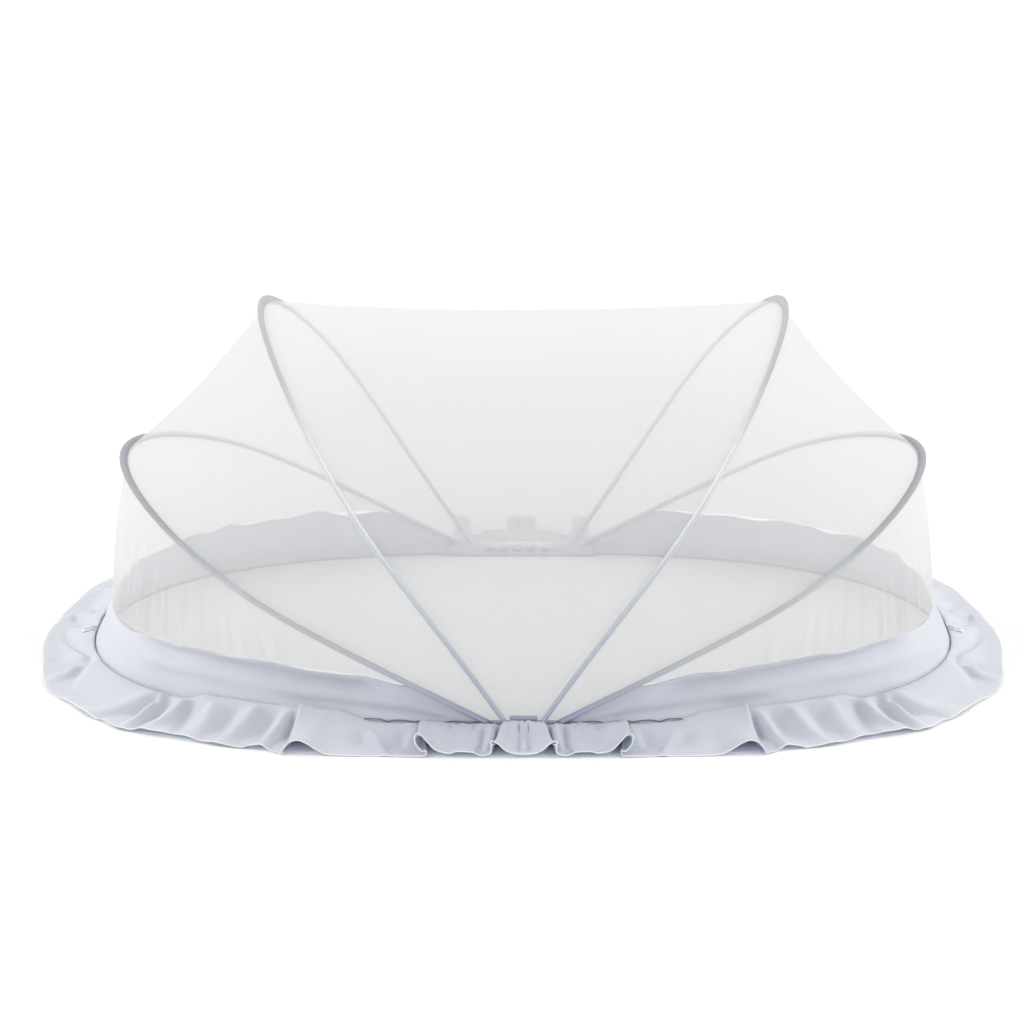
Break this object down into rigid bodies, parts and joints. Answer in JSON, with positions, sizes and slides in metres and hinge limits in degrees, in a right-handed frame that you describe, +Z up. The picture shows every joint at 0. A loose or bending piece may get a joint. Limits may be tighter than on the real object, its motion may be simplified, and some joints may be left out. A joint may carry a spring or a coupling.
{
  "type": "foldable baby mosquito net on sprung arches",
  "caption": "Sheer oval dome of net on sprung arches that fan out from a front and a back hub, with a cloth band round the base and a gathered ruffle on the floor.",
  "frame": {"origin": "on the floor, under the middle of the net and its ruffle", "axes": "+X along the net's length, +Y from the front hub to the back hub, +Z up"},
  "size_m": [1.338, 0.7479, 0.4862],
  "materials": {
    "net": "sheer warp-knit mesh",
    "binding": "woven binding tape",
    "band": "plain woven cloth",
    "ruffle": "plain woven cloth, narrow rolled hem"
  },
  "bodies": {
    "root": {"net_center": "net", "net_side_left": "net", "net_side_right": "net", "net_end_left": "net", "net_end_right": "net", "sleeve_tall_left": "binding", "sleeve_tall_right": "binding", "sleeve_low_left": "binding", "sleeve_low_right": "binding", "band_left": "band", "band_right": "band", "hub_pocket_front": "band", "hub_pocket_back": "band", "ruffle": "ruffle", "loop_left": "binding", "loop_right": "binding"}
  },
  "joints": []
}
